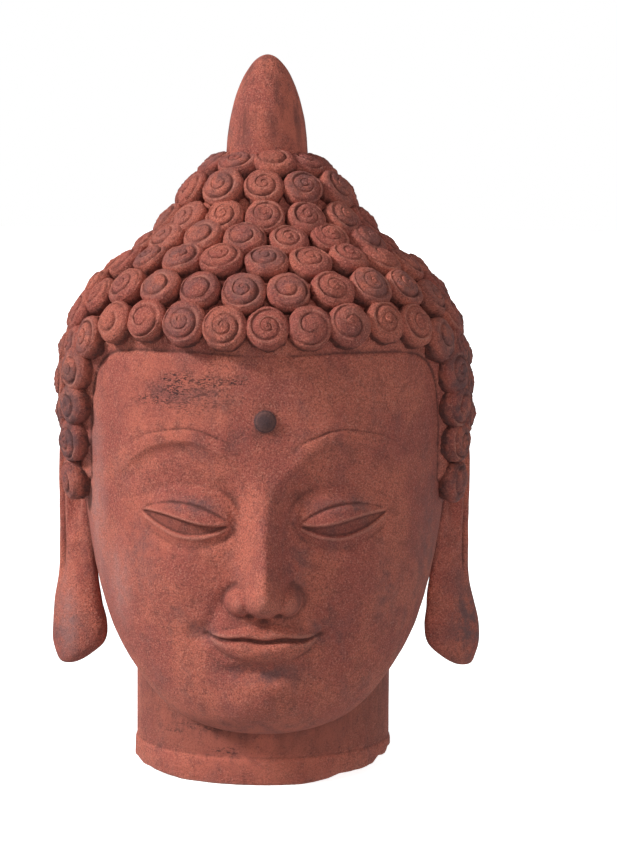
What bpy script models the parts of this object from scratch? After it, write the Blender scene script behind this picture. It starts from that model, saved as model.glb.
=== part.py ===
"""Buddha head, cast in one piece of clay: snail-shell curls, a pointed finial and long ear lobes."""

import math
import random

import bpy
import numpy as np
from mathutils import Matrix, Vector

# Driving sizes, in metres. The front faces -Y, the head stands on z = 0, and +X is the viewer's right.
HEIGHT = 0.600
NECK_WIDTH = 0.219
NECK_DEPTH = 0.204
NECK_BAND_HEIGHT = 0.021
NECK_BAND_STEP = 0.0014
RIM_BREAK_DEPTH = 0.028
CAP_THICKNESS = 0.005
CURL_RADIUS = 0.0175
CURL_HEIGHT = 0.016
CURL_ROOT = 0.006
FINIAL_RADIUS = 0.0346
FINIAL_LENGTH = 0.092
FINIAL_ROOT = 0.022
URNA_RADIUS = 0.0088
URNA_HEIGHT = 0.0045

# How finely the clay is sampled, in metres, and how many triangles the finished solid has.
GRID_STEP = 0.0022
VOXEL = 0.0026
FACE_TRIANGLES = 2250
OTHER_TRIANGLES = 7450

# The carving is laid out in parts of the height, 600 in all, so that one part is about a millimetre. The face
# follows the canon: it is twelve fingers tall and wide, with four from the hairline to the brows, four on to
# the base of the nose and four on to the chin.
PART = HEIGHT / 600.0
FINGER = 25.0
HAIRLINE_Z = 352.0
URNA_Z = HAIRLINE_Z - 1.9 * FINGER
CROWN_Z = 505.0

# Level sections of the plain head, from under the chin to the crown: height, half width, reach forwards and
# reach back.
HEAD_SECTIONS = (
    (45, 0, 88, -88),
    (47, 38, 116, -52),
    (60, 74, 137, -4),
    (85, 101, 147, 40),
    (120, 125, 150, 92),
    (160, 140, 151, 136),
    (205, 149, 151, 156),
    (255, 155, 151, 165),
    (305, 158, 150, 168),
    (340, 157, 149, 165),
    (363, 151.5, 146, 157),
    (380, 145, 141, 149),
    (392, 137, 134, 140),
    (405, 126, 124, 128),
    (417, 112, 110, 112),
    (430, 96, 92, 94),
    (446, 80, 75, 76),
    (464, 66, 61, 62),
    (487, 50, 45, 46),
    (500, 31, 27, 28),
    (CROWN_Z, 0, 0, 0),
)
FRONT_FULLNESS = 2.12
BACK_FULLNESS = 2.05

# The edge of the hair, as degrees round from the front and height.
HAIRLINE = (
    (-20, 356),
    (6, 356),
    (24, 358.5),
    (40, 358.5),
    (51, 356.5),
    (58, 350),
    (62.5, 336),
    (65.5, 310),
    (67, 280),
    (68, 250),
    (69, 225),
    (86, 224),
    (106, 222),
    (112, 178),
    (121, 142),
    (136, 131),
    (200, 128),
)

# Rows of curls that go all the way round, from the crown down: the bearing of the first curl, how many there
# are, and the row's height at a few bearings.
RING_ROWS = (
    (9, 8, ((0, 503), (180, 501))),
    (-3, 11, ((0, 484.5), (60, 483), (100, 481.5), (180, 481.5))),
    (-1, 14, ((0, 460.5), (50, 459), (80, 456), (180, 456))),
    (11.25, 16, ((0, 441), (35, 442), (80, 435.5), (180, 434))),
    (0, 20, ((0, 422), (36, 425.5), (54, 424.5), (72, 420), (90, 416.5), (180, 416.5))),
    (7.5, 24, ((0, 400), (37, 404.5), (52, 403), (67, 396), (82, 401), (180, 399))),
    (0, 29, ((0, 375.5), (37, 379), (50, 377), (62, 365.5), (74.5, 357.5), (87, 351.5), (180, 350))),
)

# Rows that run round the back from one side's hairline to the other's: the same values, the first bearing
# being where the row starts on either side.
SIDE_ROWS = (
    (76, 17, ((76, 381.5), (89, 377), (180, 375))),
    (69.3, 19, ((69, 339), (82, 328), (100, 324.5), (180, 324))),
    (71, 18, ((71, 310.5), (85, 299.5), (100, 296), (180, 296))),
    (73.2, 17, ((73, 279), (90, 269), (180, 268))),
    (75.5, 18, ((75, 246.7), (90, 239), (180, 239))),
    (115, 11, ((90, 210), (180, 210))),
    (118, 10, ((90, 181), (180, 181))),
    (125, 9, ((90, 152), (180, 152))),
)
CURL_SIZES = (0.95, 1.05)
CURL_DRIFT = 1.2
PLACING_STEPS = 900
CURL_SIDES = 16

# Under the top of an ear there are no curls between these bearings, and those in front of it lean forwards.
BEHIND_EAR = (80.0, 109.0)
TEMPLE_Z = 345.0
TEMPLE_LEAN = 0.16
PARTS_PER_DEGREE = 2.6  # how far apart two points a degree apart are, on the widest part of the head

# Sections of an ear, from its top to its lobe: height, out, back, half width, half thickness, degrees turned.
EAR_TOP_Z = 293.0
EAR_SECTIONS = (
    (EAR_TOP_Z, 161, 25, 0, 0, 30),
    (288, 162, 25, 13, 5.5, 30),
    (272, 162.5, 24, 22, 7.5, 32),
    (245, 162, 22, 25, 8, 33),
    (216, 161, 19, 24, 8, 36),
    (190, 160, 16, 22, 8.5, 42),
    (163, 159.5, 13, 21, 9.5, 50),
    (135, 159.5, 11, 24, 11.5, 58),
    (115, 158, 10, 27, 13, 60),
    (100, 159.5, 10, 25, 12.5, 62),
    (88, 164, 10, 16, 10, 62),
    (81.5, 167.5, 10, 8, 6, 62),
    (79.5, 168.5, 10, 0, 0, 62),
)
EAR_ARCH_Z = 262.0
EAR_BOWL_Z = 222.0
LOBE_Z = (144.0, 184.0)
RIGHT_LOBE_SPREAD = 4.5

# The face's tables: distance from the middle, or height, and then the value there.
NOSE_RIDGE = (
    (144, 0),
    (148, 6),
    (153, 25),
    (160, 35),
    (168, 38),
    (178, 35.5),
    (195, 29),
    (215, 21.5),
    (235, 14),
    (252, 8),
    (272, 2.5),
    (300, 0),
)
NOSE_WIDTH = (
    (144, 13),
    (156, 17),
    (168, 17.5),
    (180, 16),
    (200, 15),
    (225, 14.5),
    (245, 16.5),
    (262, 25),
    (300, 44),
)
BROW_ARCH = ((0, 244), (12, 252), (22, 266), (38, 281), (62, 289), (88, 285), (108, 272), (126, 256))
EYE_ENDS = (27.0, 99.0)
EYE_Z = 222.0
MOUTH_HALF = 45.0
UPPER_LIP = ((-8, 143.6), (0, 141.2), (8, 143.6), (24, 140.6), (38, 136.4), (MOUTH_HALF, 134.2))
LOWER_LIP = ((-18, 113.8), (0, 112.2), (18, 113.8), (34, 121.5), (MOUTH_HALF, 132.8))

# The neck, in parts: where it starts to draw in, and its top, both inside the head.
NECK_TAPER_Z = 90.0
NECK_TOP_Z = 150.0
FOOT_ROOT = 0.006  # how far the raw neck goes below the ground that cuts it, in metres

# How high the neck's rim is broken away, by the bearing from the front towards +X, in degrees and metres.
RIM_WEAR = (
    (-180, 0.0),
    (-112, 0.0),
    (-95, 0.004),
    (-77, 0.005),
    (-62, 0.0033),
    (-52, 0.0026),
    (-40, 0.0005),
    (-30, 0.0),
    (16, 0.0),
    (24, 0.002),
    (32, 0.0042),
    (44, 0.0064),
    (58, 0.0072),
    (63, 0.0105),
    (72, 0.0125),
    (80, 0.0148),
    (90, 0.013),
    (102, 0.004),
    (118, 0.0),
    (180, 0.0),
)
BREAK_SLOPE = 3.5  # how far in the break runs for each metre of its height


def through(points, at):
    """The value at `at` of a smooth curve through points whose first numbers increase."""
    known, value = np.array(points, float).T
    step = np.diff(known)
    chord = np.diff(value) / step
    before, after = chord[:-1], chord[1:]
    level = before * after <= 0
    slope = np.empty_like(value)
    slope[0], slope[-1] = chord[0], chord[-1]
    slope[1:-1] = np.where(level, 0, 2 * before * after / np.where(level, 1, before + after))
    at = np.clip(at, known[0], known[-1])
    i = np.clip(np.searchsorted(known, at) - 1, 0, len(step) - 1)
    t = (at - known[i]) / step[i]
    return (
        value[i] * (1 + 2 * t) * (1 - t) ** 2
        + slope[i] * step[i] * t * (1 - t) ** 2
        + value[i + 1] * t**2 * (3 - 2 * t)
        + slope[i + 1] * step[i] * t**2 * (t - 1)
    )


def along(rows, t):
    """Every column of a table at place t, counted in rows, on a smooth curve through them."""
    table = np.array(rows, float)
    ends = np.vstack([2 * table[0] - table[1], table, 2 * table[-1] - table[-2]])
    i = np.clip(np.floor(t).astype(int), 0, len(table) - 2)
    f = (t - i)[:, None]
    a, b, c, d = ends[i], ends[i + 1], ends[i + 2], ends[i + 3]
    return 0.5 * (2 * b + (c - a) * f + (2 * a - 5 * b + 4 * c - d) * f**2 + (3 * b - a - 3 * c + d) * f**3)


def ease(low, high, x):
    """0 at low and before it, 1 at high and beyond, with a smooth slope between."""
    t = np.clip((x - low) / (high - low), 0, 1)
    return t * t * (3 - 2 * t)


def mound(x, z, centre, radii):
    """1 at the centre and 0 outside an ellipse, falling smoothly."""
    q = ((x - centre[0]) / radii[0]) ** 2 + ((z - centre[1]) / radii[1]) ** 2
    return np.clip(1 - q, 0, 1) ** 2


def ball(x, z, centre, radii, foot, rise):
    """Height of half an ellipsoid that stands `rise` over its foot, and falls away steeply outside it."""
    q = ((x - centre[0]) / radii[0]) ** 2 + ((z - centre[1]) / radii[1]) ** 2
    return foot + rise * np.sqrt(np.clip(1 - q, 0, 1)) - 40 * np.clip(q - 1, 0, 1)


def merge(a, b, soft):
    """The higher of two heights, with the corner between them filled."""
    return np.maximum(a, b) + np.clip(soft - np.abs(a - b), 0, None) ** 2 / (4 * soft)


def ridge(distance, width):
    """1 on a line and 0 a few widths away from it."""
    return np.exp(-((distance / width) ** 2))


def nose(x, z):
    """Height of the nose: its ridge, its tip, a wing with the fold round it, and a nostril."""
    share = np.clip(x / through(NOSE_WIDTH, z), 0, 2.6)
    high = through(NOSE_RIDGE, z) * np.exp(-(share**2.15))
    high = merge(high, ball(x, z, (0, 166), (16, 14), 4, 35), 7)
    high = merge(high, ball(x, z, (17.5, 162), (13.5, 12.5), -3, 24.5), 6)
    high -= 1.8 * ridge(np.hypot(x - 17, z - 161) - 16.0, 2.0) * ease(15, 24, x) * ease(150, 160, z)
    return high - 9 * mound(x, z, (10.5, 151.5), (7, 4.5))


def lip_roll(z, low, high, rise, lean):
    """Height of one lip between two edges; lean moves its fullness towards one of them."""
    half = np.maximum((high - low) / 2, 0.25)
    q = (z - (low + high) / 2) / half
    body = np.clip(1 - np.abs(q) ** 2.3, 0, 1) ** 0.55
    return rise * body * (1 + lean * q) - 5 * np.clip(np.abs(q) - 1, 0, 1)


def lips(x, z):
    """Height of the lips, and the height at which they meet."""
    t = np.clip(x / MOUTH_HALF, 0, 1)
    seam = 130.6 - 0.9 * np.cos(np.clip(x / 16, 0, 2) * math.pi) + 4.4 * t**4
    fade = np.clip(1 - t**3, 0, 1) ** 0.6
    upper = lip_roll(z, seam, through(UPPER_LIP, x), 7.6 * fade, -0.28)
    lower = lip_roll(z, through(LOWER_LIP, x), seam, 9.6 * fade, 0.12)
    return np.where(x < MOUTH_HALF, np.maximum(upper, lower), -5), seam


def eyelids(x):
    """Where the eye is, and the heights of its upper lid's edge, its lower lid's edge and the crease."""
    inner, outer = EYE_ENDS
    t = np.clip((x - inner) / (outer - inner), 0, 1)
    inside = ease(inner - 1, inner + 3, x) * (1 - ease(outer - 4, outer + 1, x))
    line = EYE_Z + 8.5 * t
    arch = np.sin(np.pi * t)
    upper = line - 1.8 * np.sin(2 * np.pi * t**0.9) - 2.5 * arch
    return inside, upper, line - 13.5 * arch**0.85, line + 12.0 * arch**0.75


def face_relief(x, z):
    """How far the carved face stands in front of the plain head, in parts."""
    x = np.abs(x)
    high = 9.5 * mound(x, z, (80, 176), (60, 62))
    high += 7.5 * mound(x, z, (0, 128), (70, 48))
    high += 8.5 * mound(x, z, (0, 79), (50, 36))
    high -= 2.5 * mound(x, z, (118, 268), (32, 46))

    steep = through(BROW_ARCH, x + 2) - through(BROW_ARCH, x - 2)
    below = (through(BROW_ARCH, x) - z) / np.sqrt(1 + (steep / 4) ** 2)
    high -= 11 * mound(x, z, (58, 241), (58, 38))
    high -= 11 * mound(x, z, (27, 236), (21, 33))
    fade = ease(8, 40, x) * (1 - ease(104, 130, x))
    high += fade * np.where(below > 0, 5.0 * ridge(below, 4.6), 5.0 * ridge(below, 17))
    high -= 1.5 * fade * ridge(below + 8.5, 1.2)
    high -= 2.6 * fade * ridge(below - 12, 6.5)

    inside, upper, lower, crease = eyelids(x)
    high = merge(high, ball(x, z, (62, 226), (43, 28), -15, 21.5), 6)
    high += 2.2 * inside * ease(-0.6, 0.8, z - upper) * (1 - ease(4, 17, z - upper))
    high += 1.3 * inside * ridge(z - upper - 1.8, 1.5)
    high -= 3.6 * inside * ease(-0.6, 0.7, z - lower) * (1 - ease(-0.6, 0.6, z - upper))
    high += 2.0 * inside * ridge(z - lower + 2.2, 2.0)
    high -= 2.4 * inside * ridge(z - crease, 1.5)
    high -= 2.0 * inside * ridge(z - lower + 10.0, 3.4)

    high = merge(high, high * 0.3 + nose(x, z), 6)
    high -= 2.3 * ridge(x - 34 - 0.34 * (165 - z), 6.5) * ease(124, 146, z) * (1 - ease(158, 176, z))

    high -= 2.8 * ridge(x, 4.4) * ease(140, 146, z) * (1 - ease(148, 154, z))
    lip, seam = lips(x, z)
    high = merge(high, high * 0.55 + lip, 1.6)
    high -= 3.4 * ridge(z - seam, 1.5) * (1 - ease(0.93, 1.12, x / MOUTH_HALF))
    high -= 3.6 * mound(x, z, (50, 134), (17, 13))
    return high - 5.5 * mound(x, z, (0, 104), (40, 12))


def section_points(z, half, front, back, angle):
    """Points round one level section of the head, from the front over +X to the back and round again."""
    side, ahead = np.sin(angle), np.cos(angle)
    power = np.where(ahead > 0, 2 / FRONT_FULLNESS, 2 / BACK_FULLNESS)
    x = half * np.sign(side) * np.abs(side) ** power
    y = (back - front) / 2 - (front + back) / 2 * np.sign(ahead) * np.abs(ahead) ** power
    return np.stack([x, y, z + 0 * x], axis=-1)


def plain_head(rows, columns):
    """The head with no carving, as a grid of points in parts."""
    fine = np.linspace(0, len(HEAD_SECTIONS) - 1, 4000)
    z, half = along(HEAD_SECTIONS, fine).T[:2]
    travel = np.concatenate([[0], np.cumsum(np.hypot(np.diff(z), np.diff(half)))])
    t = np.interp(np.linspace(0, travel[-1], rows), travel, fine)
    z, half, front, back = along(HEAD_SECTIONS, t).T[:, :, None]
    angle = np.linspace(0, 2 * math.pi, columns, endpoint=False)
    return section_points(z, np.maximum(half, 0), front, back, angle)


def normals_of(grid):
    """Outward directions at the points of a grid that wraps round in its columns."""
    across = np.roll(grid, -1, axis=1) - np.roll(grid, 1, axis=1)
    out = np.cross(across, np.gradient(grid, axis=0))
    out[0], out[-1] = (0, 0, -1), (0, 0, 1)
    return out / np.maximum(np.linalg.norm(out, axis=-1, keepdims=True), 1e-9)


def bearing(points):
    """Degrees round from the front, 0 to 180 on either side."""
    return np.degrees(np.arctan2(np.abs(points[..., 0]), -points[..., 1]))


def inside_hairline(points):
    """Distance in parts from the hairline, positive in the hair."""
    turn, height = bearing(points), points[..., 2]
    line = np.array(HAIRLINE, float)
    nearest = np.full(turn.shape, np.inf)
    for (a0, z0), (a1, z1) in zip(line[:-1], line[1:]):
        da, dz = (a1 - a0) * PARTS_PER_DEGREE, z1 - z0
        pa, pz = (turn - a0) * PARTS_PER_DEGREE, height - z0
        f = np.clip((pa * da + pz * dz) / (da * da + dz * dz), 0, 1)
        nearest = np.minimum(nearest, np.hypot(pa - f * da, pz - f * dz))
    edge = np.interp(turn, line[:, 0], line[:, 1])
    return np.where(height > edge, nearest, -nearest)


def urna_share(points):
    """Distance from the middle of the dot on the forehead, as a share of its radius."""
    share = np.hypot(points[..., 0], points[..., 2] - URNA_Z) * PART / URNA_RADIUS
    return np.where(bearing(points) < 90, share, np.inf)


def carved_head(rows, columns):
    """The head with its cap of hair, its face and the dot on its forehead, as a grid of points in parts."""
    grid = plain_head(rows, columns)
    cap = CAP_THICKNESS / PART * ease(-1.2, 1.2, inside_hairline(grid))
    relief = face_relief(grid[..., 0], grid[..., 2])
    relief *= (1 - ease(118, 140, np.abs(grid[..., 0]))) * (1 - ease(60, 76, bearing(grid)))
    relief += URNA_HEIGHT / PART * np.sqrt(np.clip(1 - urna_share(grid) ** 2, 0, 1))
    carved = grid + normals_of(grid) * cap[..., None]
    carved[..., 1] -= relief
    return carved


def mesh_of(name, points, faces):
    mesh = bpy.data.meshes.new(name)
    mesh.from_pydata(points, [], faces)
    mesh.update()
    return mesh


def grid_mesh(name, grid):
    """A closed mesh from rows of points that wrap round; its first and last rows close to a point."""
    rows, columns = grid.shape[:2]
    points = [tuple(grid[0].mean(axis=0))]
    points += [tuple(p) for p in grid[1:-1].reshape(-1, 3)]
    points += [tuple(grid[-1].mean(axis=0))]
    last = len(points) - 1
    faces = []
    for c in range(columns):
        d = (c + 1) % columns
        faces.append((0, 1 + d, 1 + c))
        faces.append((last, last - columns + c, last - columns + d))
    for r in range(rows - 3):
        low, high = 1 + r * columns, 1 + (r + 1) * columns
        for c in range(columns):
            d = (c + 1) % columns
            faces.append((low + c, low + d, high + d, high + c))
    return mesh_of(name, points, faces)


def turned_mesh(name, profile, sides):
    """A mesh turned about Z from (radius, height) pairs that start and end on the axis."""
    angle = np.linspace(0, 2 * math.pi, sides, endpoint=False)
    grid = np.array([[(r * math.sin(a), -r * math.cos(a), z) for a in angle] for r, z in profile])
    return grid_mesh(name, grid)


def ear_relief(u, z, half):
    """Rim, hollows and bowl on the outer face of an ear, in parts."""
    q = u / np.maximum(half, 1)
    over = np.hypot(q, np.clip(z - EAR_ARCH_Z, 0, None) / (EAR_TOP_Z - EAR_ARCH_Z))
    carved = np.clip(ease(-0.15, 0.25, q) + ease(EAR_ARCH_Z, EAR_ARCH_Z + 10, z), 0, 1) * ease(*LOBE_Z, z)
    rim = (2.4 * ridge(over - 0.80, 0.14) - 4.2 * ridge(over - 0.52, 0.13)) * carved
    fold = 1.6 * ridge(q - 0.16, 0.13) * ease(178, 200, z) * (1 - ease(255, 272, z))
    bowl = -8.5 * mound(u, z, (-6, EAR_BOWL_Z + 4), (13, 34))
    stops = 3.0 * mound(u, z, (-19, EAR_BOWL_Z - 10), (8, 16))
    stops += 2.2 * mound(u, z, (-3, EAR_BOWL_Z - 36), (11, 9))
    return rim + fold + bowl + stops


def ear_mesh(side, rows, columns):
    """An ear, in parts: side is -1 for the viewer's left and 1 for the viewer's right."""
    t = np.linspace(0, len(EAR_SECTIONS) - 1, rows)
    z, out, back, half, thick, turn = along(EAR_SECTIONS, t).T[:, :, None]
    half, thick = np.maximum(half, 0), np.maximum(thick, 0)
    if side > 0:
        out = out + RIGHT_LOBE_SPREAD * (1 - ease(108, 150, z))
    angle = np.linspace(0, 2 * math.pi, columns, endpoint=False)
    u, v = half * np.cos(angle), thick * np.sin(angle)
    outer = (np.clip(v, 0, None) / np.maximum(thick, 0.1)) ** 0.6
    v = v + ear_relief(u, z, half) * outer
    s, c = np.sin(np.radians(turn)), np.cos(np.radians(turn))
    grid = np.stack([side * (out + u * s + v * c), back + u * c - v * s, z + 0 * u], axis=-1)
    if side < 0:
        grid = grid[:, ::-1]
    return grid_mesh("ear", grid[::-1])


def curl_bearings():
    """Bearing and height of every curl, row by row."""
    for first, number, heights in RING_ROWS:
        for k in range(number):
            turn = first + k * 360 / number
            yield turn, float(through(heights, min(turn, 360 - turn)))
    for first, number, heights in SIDE_ROWS:
        for k in range(number):
            turn = first + k * (360 - 2 * first) / (number - 1)
            height = float(through(heights, min(turn, 360 - turn)))
            if height > EAR_TOP_Z or not BEHIND_EAR[0] < min(turn, 360 - turn) < BEHIND_EAR[1]:
                yield turn, height


def curl_places():
    """Where each curl sits, as a matrix."""
    grid = plain_head(PLACING_STEPS, PLACING_STEPS)
    outward = normals_of(grid)
    grid = grid + outward * CAP_THICKNESS / PART
    turn = np.degrees(np.arctan2(grid[..., 0], -grid[..., 1]))
    chance = random.Random(7)
    places = []
    for angle, height in curl_bearings():
        height += chance.uniform(-CURL_DRIFT, CURL_DRIFT)
        away = ((turn - angle + 180) % 360 - 180) * PARTS_PER_DEGREE
        near = (away + chance.uniform(-CURL_DRIFT, CURL_DRIFT)) ** 2 + (grid[..., 2] - height) ** 2
        r, c = np.unravel_index(np.argmin(near), near.shape)
        out = Vector(outward[r, c])
        if height < TEMPLE_Z and bearing(grid[r, c]) < BEHIND_EAR[0]:
            out += Vector((0, -TEMPLE_LEAN, 0))
        foot = Matrix.Translation(Vector(grid[r, c]) * PART)
        lean = out.to_track_quat("Z", "Y").to_matrix().to_4x4()
        size, spin = chance.uniform(*CURL_SIZES), chance.uniform(0, 2 * math.pi)
        places.append(foot @ lean @ Matrix.Rotation(spin, 4, "Z") @ Matrix.Scale(size, 4))
    return places


def curl_mesh():
    """A low round boss with a rounded shoulder, standing on its root."""
    r, h, root = CURL_RADIUS, CURL_HEIGHT, CURL_ROOT
    profile = (
        (0, -root),
        (0.90 * r, -root),
        (0.96 * r, 0),
        (1.00 * r, 0.28 * h),
        (0.97 * r, 0.56 * h),
        (0.88 * r, 0.69 * h),
        (0.45 * r, 0.92 * h),
        (0, h),
    )
    return turned_mesh("curl", profile, CURL_SIDES)


def finial_mesh():
    """The pointed knob, whose root goes into the crown."""
    foot = HEIGHT - FINIAL_LENGTH
    root = min(foot, CROWN_Z * PART) - FINIAL_ROOT
    profile = [(0, root), (FINIAL_RADIUS, root), (FINIAL_RADIUS, foot)]
    for a in np.linspace(0, math.pi / 2, 23)[1:-1]:
        profile.append((FINIAL_RADIUS * math.cos(a) ** 1.08, foot + FINIAL_LENGTH * math.sin(a)))
    profile.append((0, HEIGHT))
    return turned_mesh("finial", profile, 48)


def neck_mesh():
    """The neck with the band round its foot, and its rim as it is broken."""
    half, band = NECK_WIDTH / 2, NECK_BAND_HEIGHT
    step = half - NECK_BAND_STEP
    profile = [(0, -FOOT_ROOT), (half, -FOOT_ROOT)]
    profile += [(half, z) for z in np.linspace(0, band, 10)]
    profile += [(step, band + NECK_BAND_STEP), (step, NECK_TAPER_Z * PART)]
    profile += [(0.95 * step, NECK_TOP_Z * PART), (0, NECK_TOP_Z * PART)]
    angle = np.linspace(0, 2 * math.pi, 192, endpoint=False)
    turn = (np.degrees(angle) + 180) % 360 - 180
    worn = np.interp(turn, *np.array(RIM_WEAR).T)
    rows = []
    for radius, z in profile:
        broken = np.clip((worn - max(z, 0)) * BREAK_SLOPE, 0, RIM_BREAK_DEPTH)
        r = np.clip(radius - broken, 0, None)
        deep = r * NECK_DEPTH / NECK_WIDTH
        rows.append(np.stack([r * np.sin(angle), -deep * np.cos(angle), z + 0 * r], -1))
    return grid_mesh("neck", np.array(rows))


def box_mesh(name, low, high):
    points = [(x, y, z) for x in (low[0], high[0]) for y in (low[1], high[1]) for z in (low[2], high[2])]
    faces = [(0, 1, 3, 2), (4, 6, 7, 5), (0, 4, 5, 1), (2, 3, 7, 6), (0, 2, 6, 4), (1, 5, 7, 3)]
    return mesh_of(name, points, faces)


def put(mesh, name):
    thing = bpy.data.objects.new(name, mesh)
    bpy.context.scene.collection.objects.link(thing)
    return thing


def fired_clay():
    colour = (0.36, 0.105, 0.062, 1)
    clay = bpy.data.materials.new("fired clay")
    clay.use_nodes = True
    shader = clay.node_tree.nodes["Principled BSDF"]
    shader.inputs["Base Color"].default_value = colour
    shader.inputs["Roughness"].default_value = 0.85
    clay.diffuse_color = colour
    return clay


def joined(name, meshes):
    """One mesh from (mesh, matrix) pairs."""
    points, faces, base = [], [], 0
    for mesh, matrix in meshes:
        points += [tuple(matrix @ v.co) for v in mesh.vertices]
        faces += [tuple(base + i for i in p.vertices) for p in mesh.polygons]
        base += len(mesh.vertices)
    return mesh_of(name, points, faces)


def raw_parts():
    """The head, ears, curls, finial and neck as closed meshes that run into each other."""
    whole = Matrix.Identity(4)
    scaled = Matrix.Scale(PART, 4)
    meshes = [(grid_mesh("head", carved_head(int(0.8 / GRID_STEP), int(1.0 / GRID_STEP))), scaled)]
    meshes += [(ear_mesh(side, int(0.24 / GRID_STEP), int(0.1 / GRID_STEP)), scaled) for side in (-1, 1)]
    curl = curl_mesh()
    meshes += [(curl, place) for place in curl_places()]
    return meshes + [(finial_mesh(), whole), (neck_mesh(), whole)]


def one_skin(thing):
    """Turns an object's mesh into the outer skin of everything in it, as one closed mesh."""
    remesh = thing.modifiers.new("one skin", "REMESH")
    remesh.mode = "VOXEL"
    remesh.voxel_size = VOXEL
    skin = bpy.data.meshes.new_from_object(thing.evaluated_get(bpy.context.evaluated_depsgraph_get()))
    thing.modifiers.remove(remesh)
    thing.data = skin


def in_face(points):
    """True where a point in parts lies on the face."""
    return (inside_hairline(points) < -2) & (bearing(points) < 68) & (points[:, 2] > 52)


def triangles_in(mesh, chosen):
    """How many triangles of a mesh have every corner chosen."""
    return sum(len(p.vertices) - 2 for p in mesh.polygons if all(chosen[v] for v in p.vertices))


def facet(thing):
    """Fewer triangles, with a share of them kept for the face, and all of those on its forehead's dot."""
    points = np.array([v.co for v in thing.data.vertices]) / PART
    urna = urna_share(points) < 1.2
    face = in_face(points) & ~urna
    all_of_it = triangles_in(thing.data, urna | ~urna)
    without_rest = triangles_in(thing.data, face) + OTHER_TRIANGLES
    for name, chosen, before, after in (
        ("rest", ~face & ~urna, all_of_it, without_rest),
        ("face", face, without_rest, FACE_TRIANGLES + OTHER_TRIANGLES),
    ):
        thing.vertex_groups.new(name=name).add([int(i) for i in np.flatnonzero(chosen)], 1.0, "REPLACE")
        fewer = thing.modifiers.new("facet " + name, "DECIMATE")
        fewer.vertex_group = name
        fewer.ratio = after / before


def main():
    for thing in list(bpy.data.objects):
        bpy.data.objects.remove(thing)
    head = put(joined("buddha_head", raw_parts()), "buddha_head")
    one_skin(head)
    facet(head)
    reach = 0.5 * HEIGHT
    ground = put(box_mesh("ground", (-reach, -reach, -0.05), (reach, reach, 0)), "ground")
    ground.hide_render = True
    ground.display_type = "WIRE"
    cut = head.modifiers.new("flat foot", "BOOLEAN")
    cut.operation = "DIFFERENCE"
    cut.solver = "EXACT"
    cut.object = ground
    head.data.materials.append(fired_clay())


if __name__ == "__main__":
    main()
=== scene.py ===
"""The look of the cast clay head: carved face, snail-shell curls and a worn, dusty finish, with painted shade
and light.
"""

import math
import random

import bmesh
import bpy
import numpy as np
from mathutils import Matrix, Vector, noise


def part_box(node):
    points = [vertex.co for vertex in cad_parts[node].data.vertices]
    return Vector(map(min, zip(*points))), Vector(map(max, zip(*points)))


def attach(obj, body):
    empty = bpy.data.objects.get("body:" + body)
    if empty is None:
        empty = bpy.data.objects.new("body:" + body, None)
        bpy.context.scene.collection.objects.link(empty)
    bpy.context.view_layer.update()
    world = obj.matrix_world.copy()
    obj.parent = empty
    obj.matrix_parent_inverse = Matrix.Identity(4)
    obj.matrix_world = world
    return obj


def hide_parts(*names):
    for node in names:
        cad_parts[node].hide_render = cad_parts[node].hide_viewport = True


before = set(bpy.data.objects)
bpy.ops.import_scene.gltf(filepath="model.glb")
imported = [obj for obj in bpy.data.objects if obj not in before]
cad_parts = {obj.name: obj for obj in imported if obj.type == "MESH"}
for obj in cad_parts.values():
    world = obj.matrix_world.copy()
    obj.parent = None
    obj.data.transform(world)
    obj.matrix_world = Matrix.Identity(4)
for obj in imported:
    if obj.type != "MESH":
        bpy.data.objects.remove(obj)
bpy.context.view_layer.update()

# Lengths are in metres. The carving is laid out in parts, 600 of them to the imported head's height, so that
# each is about a millimetre. The face follows the canon: twelve fingers tall and wide, four to each third.
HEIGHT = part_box("buddha_head")[1].z
PART = HEIGHT / 600
FINGER = 25.0
HAIRLINE_Z = 352.0
URNA_Z = HAIRLINE_Z - 1.9 * FINGER
CROWN_Z = 505.0

NECK_WIDTH = 0.219
NECK_DEPTH = 0.204
NECK_BAND_HEIGHT = 0.021
NECK_BAND_STEP = 0.0014
RIM_BREAK_DEPTH = 0.028
CAP_THICKNESS = 0.005
CURL_RADIUS = 0.0175
CURL_HEIGHT = 0.016
CURL_ROOT = 0.006
FINIAL_RADIUS = 0.0346
FINIAL_LENGTH = 0.092
FINIAL_ROOT = 0.022
URNA_RADIUS = 0.0088
URNA_HEIGHT = 0.0045

# How finely the head is sampled: rows and columns of points, the step of the remeshing, and triangles kept.
FINE = 2
HEAD_GRID = (420 * FINE, 520 * FINE)
EAR_GRID = (180 * FINE, 90 * FINE)
CAP_GRID = (210 * FINE, 550 * FINE)
FINIAL_COLUMNS = 120
NECK_COLUMNS = 720
VOXEL = 0.001
HEAD_TRIANGLES = 195000

# Level sections of the plain head, from the chin up to the crown: height, half width, reach ahead and back.
HEAD_SECTIONS = (
    (45, 0, 88, -88),
    (47, 38, 116, -52),
    (60, 74, 137, -4),
    (85, 101, 147, 40),
    (120, 125, 150, 92),
    (160, 140, 151, 136),
    (205, 149, 151, 156),
    (255, 155, 151, 165),
    (305, 158, 150, 168),
    (340, 157, 149, 165),
    (363, 151.5, 146, 157),
    (380, 145, 141, 149),
    (392, 137, 134, 140),
    (405, 126, 124, 128),
    (417, 112, 110, 112),
    (430, 96, 92, 94),
    (446, 80, 75, 76),
    (464, 66, 61, 62),
    (487, 50, 45, 46),
    (500, 31, 27, 28),
    (CROWN_Z, 0, 0, 0),
)
FRONT_FULLNESS = 2.12
BACK_FULLNESS = 2.05
LEVELS = np.linspace(0, len(HEAD_SECTIONS) - 1, 4000)

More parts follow.
